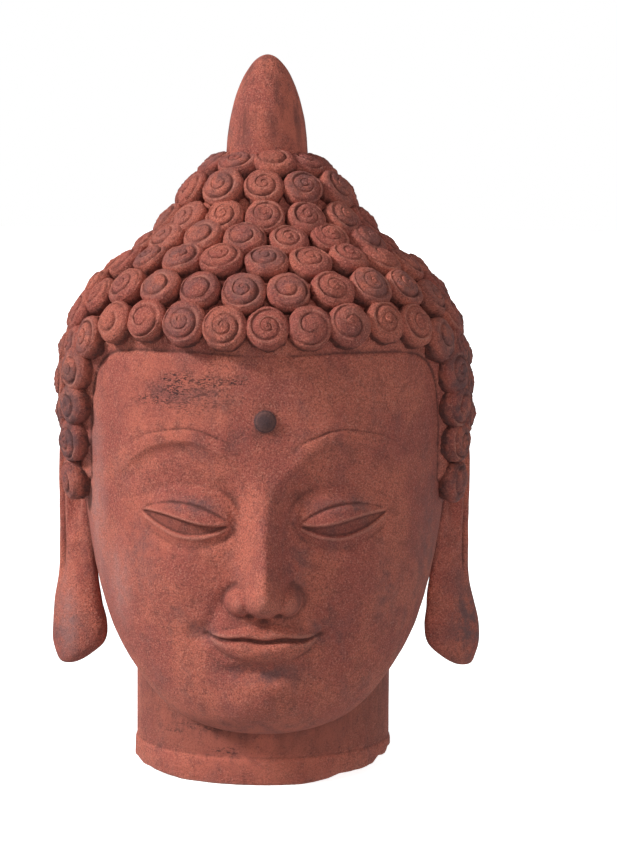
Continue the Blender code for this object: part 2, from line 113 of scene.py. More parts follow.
# The edge of the hair, as degrees round from the front and height.
HAIRLINE = (
    (-20, 356),
    (6, 356),
    (24, 358.5),
    (40, 358.5),
    (51, 356.5),
    (58, 350),
    (62.5, 336),
    (65.5, 310),
    (67, 280),
    (68, 250),
    (69, 225),
    (86, 224),
    (106, 222),
    (112, 178),
    (121, 142),
    (136, 131),
    (200, 128),
)
PARTS_PER_DEGREE = 2.6

# Rows of curls right round, from the crown down, and then from one side's hairline round the back to the
# other's: the bearing of the first curl, how many there are, and the row's height at a few bearings.
RING_ROWS = (
    (9, 8, ((0, 503), (180, 501))),
    (-3, 11, ((0, 484.5), (60, 483), (100, 481.5), (180, 481.5))),
    (-1, 14, ((0, 460.5), (50, 459), (80, 456), (180, 456))),
    (11.25, 16, ((0, 441), (35, 442), (80, 435.5), (180, 434))),
    (0, 20, ((0, 422), (36, 425.5), (54, 424.5), (72, 420), (90, 416.5), (180, 416.5))),
    (7.5, 24, ((0, 400), (37, 404.5), (52, 403), (67, 396), (82, 401), (180, 399))),
    (0, 29, ((0, 375.5), (37, 379), (50, 377), (62, 365.5), (74.5, 357.5), (87, 351.5), (180, 350))),
)
SIDE_ROWS = (
    (76, 17, ((76, 381.5), (89, 377), (180, 375))),
    (69.3, 19, ((69, 339), (82, 328), (100, 324.5), (180, 324))),
    (71, 18, ((71, 310.5), (85, 299.5), (100, 296), (180, 296))),
    (73.2, 17, ((73, 279), (90, 269), (180, 268))),
    (75.5, 18, ((75, 246.7), (90, 239), (180, 239))),
    (115, 11, ((90, 210), (180, 210))),
    (118, 10, ((90, 181), (180, 181))),
    (125, 9, ((90, 152), (180, 152))),
)

# How the curls' sizes and places vary, and how many steps round and up the head the places are looked for in.
CURL_SIZES = (0.95, 1.05)
CURL_DRIFT = 1.2
PLACING_STEPS = 900
# No curl stands behind the ear, between two bearings. The pieces at the back start at BACK_BEARING. The curls
# in front of the ears and below TEMPLE_Z lean forwards.
BEHIND_EAR = (80.0, 109.0)
BACK_BEARING = 121.0
TEMPLE_Z = 345.0
TEMPLE_LEAN = 0.24

# The curl patterns: whole whorls round the core, how fast they narrow, and how deep the groove is.
WINDINGS = ((2, 1.45, 0.0018), (1, 1.0, 0.0015), (2, 1.25, 0.0014), (1, 1.15, 0.0011), (2, 1.6, 0.0016))
CURL_COLUMNS = 44
WHORL_LEVELS = (0, 0.055, 0.14, 0.32, 0.6, 0.84, 0.94)
GROOVE_WIDTH = 0.0006
LIP_RISE = 0.42
BUTTON_RADIUS, BUTTON_HEIGHT = 0.0019, 0.0004
# A curl's top swells to the first share of its height, and the winding climbs the rest.
CURL_SWELL, CURL_CLIMB = 0.84, 0.16
# The side of a curl, from its root up to the edge of its coiled top, as shares of its radius and height.
CURL_WALL = (
    (0.9, -1),
    (0.96, 0),
    (0.985, 0.14),
    (1.0, 0.3),
    (1.0, 0.46),
    (0.99, 0.56),
    (0.965, 0.625),
    (0.925, 0.66),
)

# Sections of an ear, from its top to its lobe: height, out, back, half width, half thickness, degrees turned.
EAR_TOP_Z = 293.0
EAR_SECTIONS = (
    (EAR_TOP_Z, 161, 25, 0, 0, 30),
    (288, 162, 25, 13, 5.5, 30),
    (272, 162.5, 24, 22, 7.5, 32),
    (245, 162, 22, 25, 8, 33),
    (216, 161, 19, 24, 8, 36),
    (190, 160, 16, 22, 8.5, 42),
    (163, 159.5, 13, 21, 9.5, 50),
    (135, 159.5, 11, 24, 11.5, 58),
    (115, 158, 10, 27, 13, 60),
    (100, 159.5, 10, 25, 12.5, 62),
    (88, 164, 10, 16, 10, 62),
    (81.5, 167.5, 10, 8, 6, 62),
    (79.5, 168.5, 10, 0, 0, 62),
)
EAR_ARCH_Z = 262.0
EAR_BOWL_Z = 222.0
LOBE_Z = (144.0, 184.0)
RIGHT_LOBE_SPREAD = 4.5

# The face's tables: distance from the middle, or height, and then the value there.
NOSE_RIDGE = (
    (144, 0),
    (148, 6),
    (153, 25),
    (160, 35),
    (168, 38),
    (178, 35.5),
    (195, 29),
    (215, 21.5),
    (235, 14),
    (252, 8),
    (272, 2.5),
    (300, 0),
)
NOSE_WIDTH = (
    (144, 13),
    (156, 17),
    (168, 17.5),
    (180, 16),
    (200, 15),
    (225, 14.5),
    (245, 16.5),
    (262, 25),
    (300, 44),
)
BROW_ARCH = ((0, 244), (12, 252), (22, 266), (38, 281), (62, 289), (88, 285), (108, 272), (126, 256))
EYE_ENDS = (27.0, 99.0)
EYE_Z = 222.0
MOUTH_HALF = 45.0
UPPER_LIP = ((-8, 143.6), (0, 141.2), (8, 143.6), (24, 140.6), (38, 136.4), (MOUTH_HALF, 134.2))
LOWER_LIP = ((-18, 113.8), (0, 112.2), (18, 113.8), (34, 121.5), (MOUTH_HALF, 132.8))

NECK_TAPER_Z = 90.0
NECK_TOP_Z = 150.0

# How high the neck's rim is broken away, by the bearing from the front towards +X, in degrees and metres.
RIM_WEAR = (
    (-180, 0.0),
    (-112, 0.0),
    (-95, 0.004),
    (-77, 0.005),
    (-62, 0.0033),
    (-52, 0.0026),
    (-40, 0.0005),
    (-30, 0.0),
    (16, 0.0),
    (24, 0.002),
    (32, 0.0042),
    (44, 0.0064),
    (58, 0.0072),
    (63, 0.0105),
    (72, 0.0125),
    (80, 0.0148),
    (90, 0.013),
    (102, 0.004),
    (118, 0.0),
    (180, 0.0),
)
BREAK_SLOPE = 3.5

# How hollows are found, fine and broad: rounds of averaging, and the bend in a metre that counts as full.
HOLLOWS = ((2, 160), (14, 60))

# The colours of the clay and of what has settled on it, and of painted shade; the pale clay also serves for
# painted highlights, the orange clay for painted light and the grey bloom for a painted shadow.
RED_CLAY = (0.395, 0.098, 0.074, 1)
ORANGE_CLAY_AND_LIGHT = (0.535, 0.146, 0.096, 1)
BROWN_CLAY = (0.190, 0.060, 0.048, 1)
PALE_CLAY_AND_HIGHLIGHT = (0.620, 0.260, 0.190, 1)
GREY_BLOOM_AND_SHADOW = (0.140, 0.080, 0.082, 1)
PALE_LILAC = (0.450, 0.255, 0.240, 1)
SLATE = (0.038, 0.034, 0.040, 1)
PATINA = (0.085, 0.052, 0.058, 1)
SOOT = (0.030, 0.018, 0.020, 1)
SHADE = (0.090, 0.032, 0.027, 1)

# Where the clay's colour changes: centre, reach and share covered. In order, these are the grey bloom, with a
# painted shadow under the chin; the paler, lilac strip along the left; the seam of the mould on the finial;
# the clay left clean, with painted light from below on the neck and its band; the dark film at the temples;
# and the dry black streaks and speckles.
BLOOMS_AND_CHIN_SHADOW = (
    ((0.137, -0.08, 0.190), (0.020, 0.09, 0.14), 0.5),
    ((-0.097, -0.13, 0.195), (0.016, 0.08, 0.045), 0.45),
    ((0.100, -0.13, 0.165), (0.022, 0.08, 0.05), 0.45),
    ((-0.057, -0.15, 0.237), (0.034, 0.08, 0.011), 0.8),
    ((0.062, -0.15, 0.237), (0.036, 0.08, 0.011), 0.8),
    ((0, -0.15, 0.103), (0.055, 0.08, 0.014), 0.7),
    ((0.048, -0.15, 0.136), (0.020, 0.08, 0.016), 0.7),
    ((-0.048, -0.15, 0.136), (0.020, 0.08, 0.016), 0.6),
    ((0.028, -0.17, 0.185), (0.016, 0.08, 0.040), 0.6),
    ((-0.172, -0.01, 0.110), (0.035, 0.09, 0.045), 0.6),
    ((0.180, -0.01, 0.120), (0.035, 0.09, 0.080), 0.95),
    # Painted shadow under the chin, in the crease over the neck.
    ((0, -0.10, 0.052), (0.12, 0.12, 0.020), 0.25),
    ((-0.055, -0.15, 0.325), (0.060, 0.08, 0.024), 0.35),
    ((-0.036, 0, 0.545), (0.016, 0.05, 0.050), 0.5),
)
PALE_LEFT_STRIP = (
    ((-0.139, -0.07, 0.220), (0.015, 0.07, 0.15), 0.45),
    ((-0.120, -0.10, 0.165), (0.020, 0.07, 0.06), 0.4),
    ((-0.168, -0.01, 0.125), (0.014, 0.07, 0.06), 0.4),
)
SEAM = ((-0.0190, -0.03, 0.550), (0.0030, 0.03, 0.045))
CLEAN_CLAY_AND_NECK_LIGHT = (
    # The first two lighten the band and the neck under the chin: painted light from below, on the band partly
    # also its more orange clay.
    ((0, -0.10, 0.011), (0.13, 0.13, 0.018), 0.55),
    ((-0.01, -0.09, 0.048), (0.130, 0.09, 0.040), 1.0),
    ((0.024, -0.02, 0.545), (0.026, 0.05, 0.060), 0.9),
    ((-0.08, -0.13, 0.315), (0.060, 0.08, 0.050), 0.5),
    ((-0.09, -0.13, 0.215), (0.040, 0.08, 0.035), 0.5),
)
TEMPLES = (
    ((-0.180, -0.05, 0.280), (0.060, 0.10, 0.100), 0.6),
    ((0.190, -0.02, 0.290), (0.090, 0.24, 0.180), 0.7),
)
STREAKS = (
    ((-0.071, -0.15, 0.336), (0.018, 0.08, 0.008), 1.0),
    ((-0.071, -0.15, 0.327), (0.012, 0.08, 0.009), 0.8),
    ((-0.043, -0.15, 0.335), (0.014, 0.08, 0.006), 1.0),
    ((-0.022, -0.15, 0.336), (0.014, 0.08, 0.005), 0.9),
    ((-0.092, -0.14, 0.319), (0.024, 0.08, 0.006), 0.7),
    ((-0.062, -0.15, 0.324), (0.052, 0.08, 0.024), 0.6),
    ((-0.030, -0.10, 0.028), (0.016, 0.08, 0.004), 0.9),
    ((-0.050, -0.10, 0.046), (0.040, 0.08, 0.004), 0.7),
    ((-0.075, -0.10, 0.040), (0.022, 0.08, 0.003), 0.7),
    ((0.035, -0.16, 0.128), (0.020, 0.08, 0.010), 0.5),
    ((-0.030, -0.16, 0.112), (0.022, 0.08, 0.008), 0.4),
)


def through(points, at):
    """The value at `at` of a smooth curve through points whose first numbers increase."""
    known, value = np.array(points, float).T
    step = np.diff(known)
    chord = np.diff(value) / step
    before, after = chord[:-1], chord[1:]
    level = before * after <= 0
    slope = np.empty_like(value)
    slope[0], slope[-1] = chord[0], chord[-1]
    slope[1:-1] = np.where(level, 0, 2 * before * after / np.where(level, 1, before + after))
    at = np.clip(at, known[0], known[-1])
    i = np.clip(np.searchsorted(known, at) - 1, 0, len(step) - 1)
    t = (at - known[i]) / step[i]
    return (
        value[i] * (1 + 2 * t) * (1 - t) ** 2
        + slope[i] * step[i] * t * (1 - t) ** 2
        + value[i + 1] * t**2 * (3 - 2 * t)
        + slope[i + 1] * step[i] * t**2 * (t - 1)
    )


def along(rows, t):
    """Every column of a table at place t, counted in rows, on a smooth curve through them."""
    table = np.array(rows, float)
    ends = np.vstack([2 * table[0] - table[1], table, 2 * table[-1] - table[-2]])
    i = np.clip(np.floor(t).astype(int), 0, len(table) - 2)
    f = (t - i)[..., None]
    a, b, c, d = ends[i], ends[i + 1], ends[i + 2], ends[i + 3]
    return 0.5 * (2 * b + (c - a) * f + (2 * a - 5 * b + 4 * c - d) * f**2 + (3 * b - a - 3 * c + d) * f**3)


def ease(low, high, x):
    """0 at low and before it, 1 at high and beyond, with a smooth slope between."""
    t = np.clip((x - low) / (high - low), 0, 1)
    return t * t * (3 - 2 * t)


def mound(x, z, centre, radii):
    """1 at the centre and 0 outside an ellipse, falling smoothly."""
    q = ((x - centre[0]) / radii[0]) ** 2 + ((z - centre[1]) / radii[1]) ** 2
    return np.clip(1 - q, 0, 1) ** 2


def ball(x, z, centre, radii, foot, rise):
    """Height of half an ellipsoid that stands `rise` over its foot, and falls away steeply outside it."""
    q = ((x - centre[0]) / radii[0]) ** 2 + ((z - centre[1]) / radii[1]) ** 2
    return foot + rise * np.sqrt(np.clip(1 - q, 0, 1)) - 40 * np.clip(q - 1, 0, 1)


def merge(a, b, soft):
    """The higher of two heights, with the corner between them filled."""
    return np.maximum(a, b) + np.clip(soft - np.abs(a - b), 0, None) ** 2 / (4 * soft)


def ridge(distance, width):
    """1 on a line and 0 a few widths away from it."""
    return np.exp(-((distance / width) ** 2))


def nose(x, z):
    """Height of the nose: its ridge, its tip, a wing with the fold round it, and a nostril."""
    share = np.clip(x / through(NOSE_WIDTH, z), 0, 2.6)
    high = through(NOSE_RIDGE, z) * np.exp(-(share**2.15))
    high = merge(high, ball(x, z, (0, 166), (16, 14), 4, 35), 7)
    high = merge(high, ball(x, z, (17.5, 162), (13.5, 12.5), -3, 24.5), 6)
    high -= 1.8 * ridge(np.hypot(x - 17, z - 161) - 16.0, 2.0) * ease(15, 24, x) * ease(150, 160, z)
    return high - 9 * mound(x, z, (10.5, 151.5), (7, 4.5))


def lip_roll(z, low, high, rise, lean):
    """Height of one lip between two edges; lean moves its fullness towards one of them."""
    half = np.maximum((high - low) / 2, 0.25)
    q = (z - (low + high) / 2) / half
    body = np.clip(1 - np.abs(q) ** 2.3, 0, 1) ** 0.55
    return rise * body * (1 + lean * q) - 5 * np.clip(np.abs(q) - 1, 0, 1)


def lips(x, z):
    """Height of the lips, and the height at which they meet."""
    t = np.clip(x / MOUTH_HALF, 0, 1)
    seam = 130.6 - 0.9 * np.cos(np.clip(x / 16, 0, 2) * math.pi) + 4.4 * t**4
    fade = np.clip(1 - t**3, 0, 1) ** 0.6
    upper = lip_roll(z, seam, through(UPPER_LIP, x), 7.6 * fade, -0.28)
    lower = lip_roll(z, through(LOWER_LIP, x), seam, 9.6 * fade, 0.12)
    return np.where(x < MOUTH_HALF, np.maximum(upper, lower), -5), seam


def eyelids(x):
    """Where the eye is, and the heights of its upper lid's edge, its lower lid's edge and the crease."""
    inner, outer = EYE_ENDS
    t = np.clip((x - inner) / (outer - inner), 0, 1)
    inside = ease(inner - 1, inner + 3, x) * (1 - ease(outer - 4, outer + 1, x))
    line = EYE_Z + 8.5 * t
    arch = np.sin(np.pi * t)
    upper = line - 1.8 * np.sin(2 * np.pi * t**0.9) - 2.5 * arch
    return inside, upper, line - 13.5 * arch**0.85, line + 12.0 * arch**0.75


def face_relief(x, z):
    """How far the carved face stands in front of the plain head, in parts."""
    x = np.abs(x)
    high = 9.5 * mound(x, z, (80, 176), (60, 62))
    high += 7.5 * mound(x, z, (0, 128), (70, 48))
    high += 8.5 * mound(x, z, (0, 79), (50, 36))
    high -= 2.5 * mound(x, z, (118, 268), (32, 46))

    steep = through(BROW_ARCH, x + 2) - through(BROW_ARCH, x - 2)
    below = (through(BROW_ARCH, x) - z) / np.sqrt(1 + (steep / 4) ** 2)
    high -= 11 * mound(x, z, (58, 241), (58, 38))
    high -= 11 * mound(x, z, (27, 236), (21, 33))
    fade = ease(8, 40, x) * (1 - ease(104, 130, x))
    high += fade * np.where(below > 0, 5.0 * ridge(below, 4.6), 5.0 * ridge(below, 17))
    high -= 1.5 * fade * ridge(below + 8.5, 1.2)
    high -= 2.6 * fade * ridge(below - 12, 6.5)

    inside, upper, lower, crease = eyelids(x)
    high = merge(high, ball(x, z, (62, 226), (43, 28), -15, 21.5), 6)
    high += 2.2 * inside * ease(-0.6, 0.8, z - upper) * (1 - ease(4, 17, z - upper))
    high += 1.3 * inside * ridge(z - upper - 1.8, 1.5)
    high -= 3.6 * inside * ease(-0.6, 0.7, z - lower) * (1 - ease(-0.6, 0.6, z - upper))
    high += 2.0 * inside * ridge(z - lower + 2.2, 2.0)
    high -= 2.4 * inside * ridge(z - crease, 1.5)
    high -= 2.0 * inside * ridge(z - lower + 10.0, 3.4)

    high = merge(high, high * 0.3 + nose(x, z), 6)
    high -= 2.3 * ridge(x - 34 - 0.34 * (165 - z), 6.5) * ease(124, 146, z) * (1 - ease(158, 176, z))

    high -= 2.8 * ridge(x, 4.4) * ease(140, 146, z) * (1 - ease(148, 154, z))
    lip, seam = lips(x, z)
    high = merge(high, high * 0.55 + lip, 1.6)
    high -= 3.4 * ridge(z - seam, 1.5) * (1 - ease(0.93, 1.12, x / MOUTH_HALF))
    high -= 3.6 * mound(x, z, (50, 134), (17, 13))
    return high - 5.5 * mound(x, z, (0, 104), (40, 12))


def level_travel():
    """How far each of LEVELS is from the lowest, along the side of the head."""
    z, half = along(HEAD_SECTIONS, LEVELS).T[:2]
    return np.concatenate([[0], np.cumsum(np.hypot(np.diff(z), np.diff(half)))])


def head_points(travel, angle):
    """Points of the plain head at a travel up its side and an angle round it, in parts."""
    z, half, front, back = np.moveaxis(along(HEAD_SECTIONS, np.interp(travel, level_travel(), LEVELS)), -1, 0)
    side, ahead = np.sin(angle), np.cos(angle)
    power = np.where(ahead > 0, 2 / FRONT_FULLNESS, 2 / BACK_FULLNESS)
    x = np.maximum(half, 0) * np.sign(side) * np.abs(side) ** power
    y = (back - front) / 2 - (front + back) / 2 * np.sign(ahead) * np.abs(ahead) ** power
    return np.stack([x, y, z + 0 * x], axis=-1)


def round_angles(columns):
    """So many even steps of a full turn."""
    return np.linspace(0, 2 * math.pi, columns, endpoint=False)


def plain_head(rows, columns):
    """The head with no carving, as a grid of points in parts."""
    travel = np.linspace(0, level_travel()[-1], rows)
    return head_points(travel[:, None], round_angles(columns)[None, :])


def normals_of(grid):
    """Outward directions at the points of a grid that wraps round in its columns."""
    across = np.roll(grid, -1, axis=1) - np.roll(grid, 1, axis=1)
    out = np.cross(across, np.gradient(grid, axis=0))
    out[-1] = (0, 0, 1)
    if np.ptp(grid[0, :, 2]) < 1e-6:
        out[0] = (0, 0, -1)
    return out / np.maximum(np.linalg.norm(out, axis=-1, keepdims=True), 1e-9)


def bearing(points):
    """Degrees round from the front, 0 to 180 on either side."""
    return np.degrees(np.arctan2(np.abs(points[..., 0]), -points[..., 1]))


def hairline():
    """The hairline's table with points added where it curves."""
    turn = np.concatenate([[-20, 6], np.arange(22, 70, 2), [86, 106, 112, 121, 136, 200]])
    return np.stack([turn, through(HAIRLINE, turn)], axis=-1)


def inside_hairline(points):
    """Distance in parts from the hairline, positive in the hair."""
    turn, height = bearing(points), points[..., 2]
    line = hairline()
    nearest = np.full(turn.shape, np.inf)
    for (a0, z0), (a1, z1) in zip(line[:-1], line[1:]):
        da, dz = (a1 - a0) * PARTS_PER_DEGREE, z1 - z0
        pa, pz = (turn - a0) * PARTS_PER_DEGREE, height - z0
        f = np.clip((pa * da + pz * dz) / (da * da + dz * dz), 0, 1)
        nearest = np.minimum(nearest, np.hypot(pa - f * da, pz - f * dz))
    edge = np.interp(turn, line[:, 0], line[:, 1])
    return np.where(height > edge, nearest, -nearest)


def carved_head(rows, columns):
    """The head with its face and the dot on its forehead, as a grid of points in parts."""
    grid = plain_head(rows, columns)
    front = bearing(grid)
    relief = face_relief(grid[..., 0], grid[..., 2])
    relief *= (1 - ease(118, 140, np.abs(grid[..., 0]))) * (1 - ease(60, 76, front))
    share = np.hypot(grid[..., 0], grid[..., 2] - URNA_Z) * PART / URNA_RADIUS
    relief += np.where(front < 90, URNA_HEIGHT / PART * np.sqrt(np.clip(1 - share**2, 0, 1)), 0)
    groove = 1.1 * ridge(inside_hairline(grid) + 0.6, 1.0)
    grid = grid - normals_of(grid) * groove[..., None]
    grid[..., 1] -= relief
    return grid


def mesh_of(name, points, quads):
    """A mesh of four-sided faces."""
    mesh = bpy.data.meshes.new(name)
    mesh.vertices.add(len(points))
    mesh.vertices.foreach_set("co", np.ascontiguousarray(points, np.float32).ravel())
    mesh.loops.add(quads.size)
    mesh.loops.foreach_set("vertex_index", np.ascontiguousarray(quads, np.int32).ravel())
    mesh.polygons.add(len(quads))
    mesh.polygons.foreach_set("loop_start", np.arange(len(quads), dtype=np.int32) * 4)
    mesh.update(calc_edges=True)
    return mesh


def grid_mesh(name, grid):
    """A mesh from rows of points that wrap round; its first and last rows are drawn together to close it."""
    grid = grid.copy()
    grid[0], grid[-1] = grid[0].mean(axis=0), grid[-1].mean(axis=0)
    rows, columns = grid.shape[:2]
    number = np.arange(rows * columns).reshape(rows, columns)
    right = np.roll(number, -1, axis=1)
    quads = np.stack([number[:-1], right[:-1], right[1:], number[1:]], axis=-1).reshape(-1, 4)
    return mesh_of(name, grid.reshape(-1, 3), quads)


def turned_mesh(name, profile, sides):
    """A mesh turned about Z from (radius, height) pairs that start and end on the axis."""
    r, z = np.array(profile, float).T[:, :, None]
    angle = round_angles(sides)
    return grid_mesh(name, np.stack([r * np.sin(angle), -r * np.cos(angle), z + 0 * angle], axis=-1))


def ear_relief(u, z, half):
    """Rim, hollows and bowl on the outer face of an ear, in parts."""
    q = u / np.maximum(half, 1)
    over = np.hypot(q, np.clip(z - EAR_ARCH_Z, 0, None) / (EAR_TOP_Z - EAR_ARCH_Z))
    carved = np.clip(ease(-0.15, 0.25, q) + ease(EAR_ARCH_Z, EAR_ARCH_Z + 10, z), 0, 1) * ease(*LOBE_Z, z)
    rim = (2.4 * ridge(over - 0.80, 0.14) - 4.2 * ridge(over - 0.52, 0.13)) * carved
    fold = 1.6 * ridge(q - 0.16, 0.13) * ease(178, 200, z) * (1 - ease(255, 272, z))
    bowl = -8.5 * mound(u, z, (-6, EAR_BOWL_Z + 4), (13, 34))
    lumps = 3.0 * mound(u, z, (-19, EAR_BOWL_Z - 10), (8, 16))
    lumps += 2.2 * mound(u, z, (-3, EAR_BOWL_Z - 36), (11, 9))
    return rim + fold + bowl + lumps


def ear_mesh(side, rows, columns):
    """An ear, in parts: side is -1 for the viewer's left and 1 for the viewer's right."""
    t = np.linspace(0, len(EAR_SECTIONS) - 1, rows)
    z, out, back, half, thick, turn = along(EAR_SECTIONS, t).T[:, :, None]
    half, thick = np.maximum(half, 0), np.maximum(thick, 0)
    if side > 0:
        out = out + RIGHT_LOBE_SPREAD * (1 - ease(108, 150, z))
    angle = round_angles(columns)
    u, v = half * np.cos(angle), thick * np.sin(angle)
    outer = (np.clip(v, 0, None) / np.maximum(thick, 0.1)) ** 0.6
    v = v + ear_relief(u, z, half) * outer
    s, c = np.sin(np.radians(turn)), np.cos(np.radians(turn))
    grid = np.stack([side * (out + u * s + v * c), back + u * c - v * s, z + 0 * u], axis=-1)
    if side < 0:
        grid = grid[:, ::-1]
    return grid_mesh("ear", grid[::-1])


def finial_mesh():
    """The pointed knob, whose root goes into the crown."""
    foot = HEIGHT - FINIAL_LENGTH
    root = min(foot, CROWN_Z * PART) - FINIAL_ROOT
    profile = [(0, root)] + [(FINIAL_RADIUS, z) for z in np.linspace(root, foot, 12)]
    for a in np.linspace(0, math.pi / 2, 61)[1:-1]:
        profile.append((FINIAL_RADIUS * math.cos(a) ** 1.08, foot + FINIAL_LENGTH * math.sin(a)))
    profile.append((0, HEIGHT))
    return turned_mesh("finial", profile, FINIAL_COLUMNS)


def neck_mesh():
    """The neck with the band round its foot, and its rim as it is broken."""
    half, band = NECK_WIDTH / 2, NECK_BAND_HEIGHT
    step = half - NECK_BAND_STEP
    profile = [(0, 0), (half / 3, 0), (half - RIM_BREAK_DEPTH - 0.002, 0)]
    profile += [(half - 0.0009, 0), (half - 0.0002, 0.0005), (half, 0.0014)]
    profile += [(half, z) for z in np.linspace(0.002, band - 0.0012, 40)]
    profile += [(half - 0.0005, band), (step + 0.0003, band + 0.0013), (step - 0.0004, band + 0.0022)]
    profile += [(step, z) for z in np.linspace(band + 0.004, NECK_TAPER_Z * PART, 40)]
    profile += [(0.95 * step, NECK_TOP_Z * PART), (0, NECK_TOP_Z * PART)]
    angle = round_angles(NECK_COLUMNS)
    turn = (np.degrees(angle) + 180) % 360 - 180
    worn = np.interp(turn, *np.array(RIM_WEAR).T)
    crumbs = np.array([noise.noise(Vector((9 * math.sin(a), 9 * math.cos(a), 1.5))) for a in angle])
    worn = worn * (1 + 0.22 * crumbs) + 0.0004 * np.clip(crumbs, 0, 1)
    rows = []
    for radius, z in profile:
        broken = np.clip((worn - z) * BREAK_SLOPE, 0, RIM_BREAK_DEPTH)
        r = np.minimum(radius, half - broken) if radius > half / 2 else radius + 0 * angle
        ahead = r * NECK_DEPTH / NECK_WIDTH
        rows.append(np.stack([r * np.sin(angle), -ahead * np.cos(angle), z + 0 * r], axis=-1))
    return grid_mesh("neck", np.array(rows))


def cap_mesh(rows, columns):
    """The shell that the curls stand on, from the hairline to the crown, in parts."""
    travel = level_travel()
    angle = round_angles(columns)
    height = np.full(columns, HAIRLINE_Z)
    known = along(HEAD_SECTIONS, LEVELS)[:, 0]
    for _ in range(12):
        at = head_points(np.interp(height, known, travel), angle)
        height = np.interp(bearing(at), *hairline().T)
    first = np.interp(height, known, travel)
    share = np.linspace(0, 1, rows)[:, None]
    grid = head_points(first + (travel[-1] - first) * share, angle)
    out = normals_of(grid)
    depth = inside_hairline(grid)
    thick = CAP_THICKNESS / PART * (0.3 + 0.7 * ease(0, 9, depth)) - 1.2 * (1 - ease(0, 1.4, depth))
    outer = grid + out * thick[..., None]
    inner = grid - out * 5.0
    return grid_mesh("cap", np.concatenate([inner[::-1], outer]))


def curl_bearings():
    """Bearing and height of every curl, row by row."""
    for first, number, heights in RING_ROWS:
        for k in range(number):
            turn = first + k * 360 / number
            yield turn, float(through(heights, min(turn, 360 - turn)))
    for first, number, heights in SIDE_ROWS:
        for k in range(number):
            turn = first + k * (360 - 2 * first) / (number - 1)
            height = float(through(heights, min(turn, 360 - turn)))
            if height > EAR_TOP_Z or not BEHIND_EAR[0] < min(turn, 360 - turn) < BEHIND_EAR[1]:
                yield turn, height


def curl_places():
    """Where each curl sits, as a matrix."""
    grid = plain_head(PLACING_STEPS, PLACING_STEPS)
    outward = normals_of(grid)
    grid = grid + outward * CAP_THICKNESS / PART
    turn = np.degrees(np.arctan2(grid[..., 0], -grid[..., 1]))
    chance = random.Random(7)
    places = []
    for angle, height in curl_bearings():
        height += chance.uniform(-CURL_DRIFT, CURL_DRIFT)
        away = ((turn - angle + 180) % 360 - 180) * PARTS_PER_DEGREE
        near = (away + chance.uniform(-CURL_DRIFT, CURL_DRIFT)) ** 2 + (grid[..., 2] - height) ** 2
        r, c = np.unravel_index(np.argmin(near), near.shape)
        out = Vector(outward[r, c])
        if height < TEMPLE_Z and bearing(grid[r, c]) < BEHIND_EAR[0]:
            out += Vector((0, -TEMPLE_LEAN, 0))
        foot = Matrix.Translation(Vector(grid[r, c]) * PART)
        lean = out.to_track_quat("Z", "Y").to_matrix().to_4x4()
        size, spin = chance.uniform(*CURL_SIZES), chance.uniform(0, 2 * math.pi)
        places.append(foot @ lean @ Matrix.Rotation(spin, 4, "Z") @ Matrix.Scale(size, 4))
    return places


def curl_top(whorls, growth, depth, angle):
    """The coiled top of a curl, in rows that wind inwards: each point's radius, height, groove and lip."""
    turns = whorls + 1
    about = angle / (2 * math.pi)
    start, last = CURL_WALL[-1][0] * CURL_RADIUS, CURL_WALL[-1][1]

    def radius_at(wound):
        return start * np.clip(1 - wound / turns, 0, 1) ** growth

    def strength(wound):
        worn = 0.72 + 0.28 * np.sin(2 * math.pi * (1.3 * wound + growth))
        return worn * ease(0, 0.3, wound) * (1 - ease(turns - 0.8, turns - 0.6, wound))

    def gone_round(level):
        """Whorls gone round, the first row opening out into the winding and the last closing it."""
        whole = [about + k + level for k in range(whorls)]
        return np.concatenate([about * level, *whole, about + whorls + (1 - about) * level])

    level = np.array(WHORL_LEVELS)[:, None]
    r = radius_at(gone_round(level))
    groove, lip = 0 * r, 0 * r
    for k in range(turns):
        gap = r - radius_at(about + k)
        inner = ease(0.9, 1.5, about + k)
        width = GROOVE_WIDTH * (1 + 0.9 * ridge(about + k - 0.55, 0.4) - 0.2 * inner)
        carved = strength(about + k) * (1 - 0.45 * inner)
        groove = np.maximum(groove, carved * ridge(gap, width))
        lip = np.maximum(lip, carved * ridge(gap - 1.9 * width, GROOVE_WIDTH))
    swell = last + (CURL_SWELL - last) * (1 - (r / start) ** 2.2)
    climb = CURL_CLIMB * (gone_round(ease(0, 0.16, level)) / turns) ** 0.75
    z = CURL_HEIGHT * (swell + climb) - depth * groove + LIP_RISE * depth * lip
    return r, z + BUTTON_HEIGHT * ridge(r, BUTTON_RADIUS), groove, lip


def curl_faces(rows, first):
    """Corners of a curl's faces, on points numbered row by row between its root, 0, and its tip. From row
    `first` on, a row that has gone round goes on as the row one whorl further in."""
    columns, step = CURL_COLUMNS, len(WHORL_LEVELS)
    number = 1 + np.arange(rows * columns).reshape(rows, columns)
    number[first : first + step + 1, 0] = number[first, 0]
    tip = 1 + rows * columns

    def point(row, column):
        return int(number[row, column]) if row < rows else tip

    def next_point(row, column):
        if column + 1 < columns:
            return point(row, column + 1)
        return point(row + step if row >= first else row, 0)

    faces = [(0, point(0, (j + 1) % columns), point(0, j)) for j in range(columns)]
    for i in range(rows):
        for j in range(columns):
            corners = (point(i, j), next_point(i, j), next_point(i + 1, j), point(i + 1, j))
            corners = list(dict.fromkeys(corners))
            if len(corners) > 2:
                faces.append(corners)
    return faces


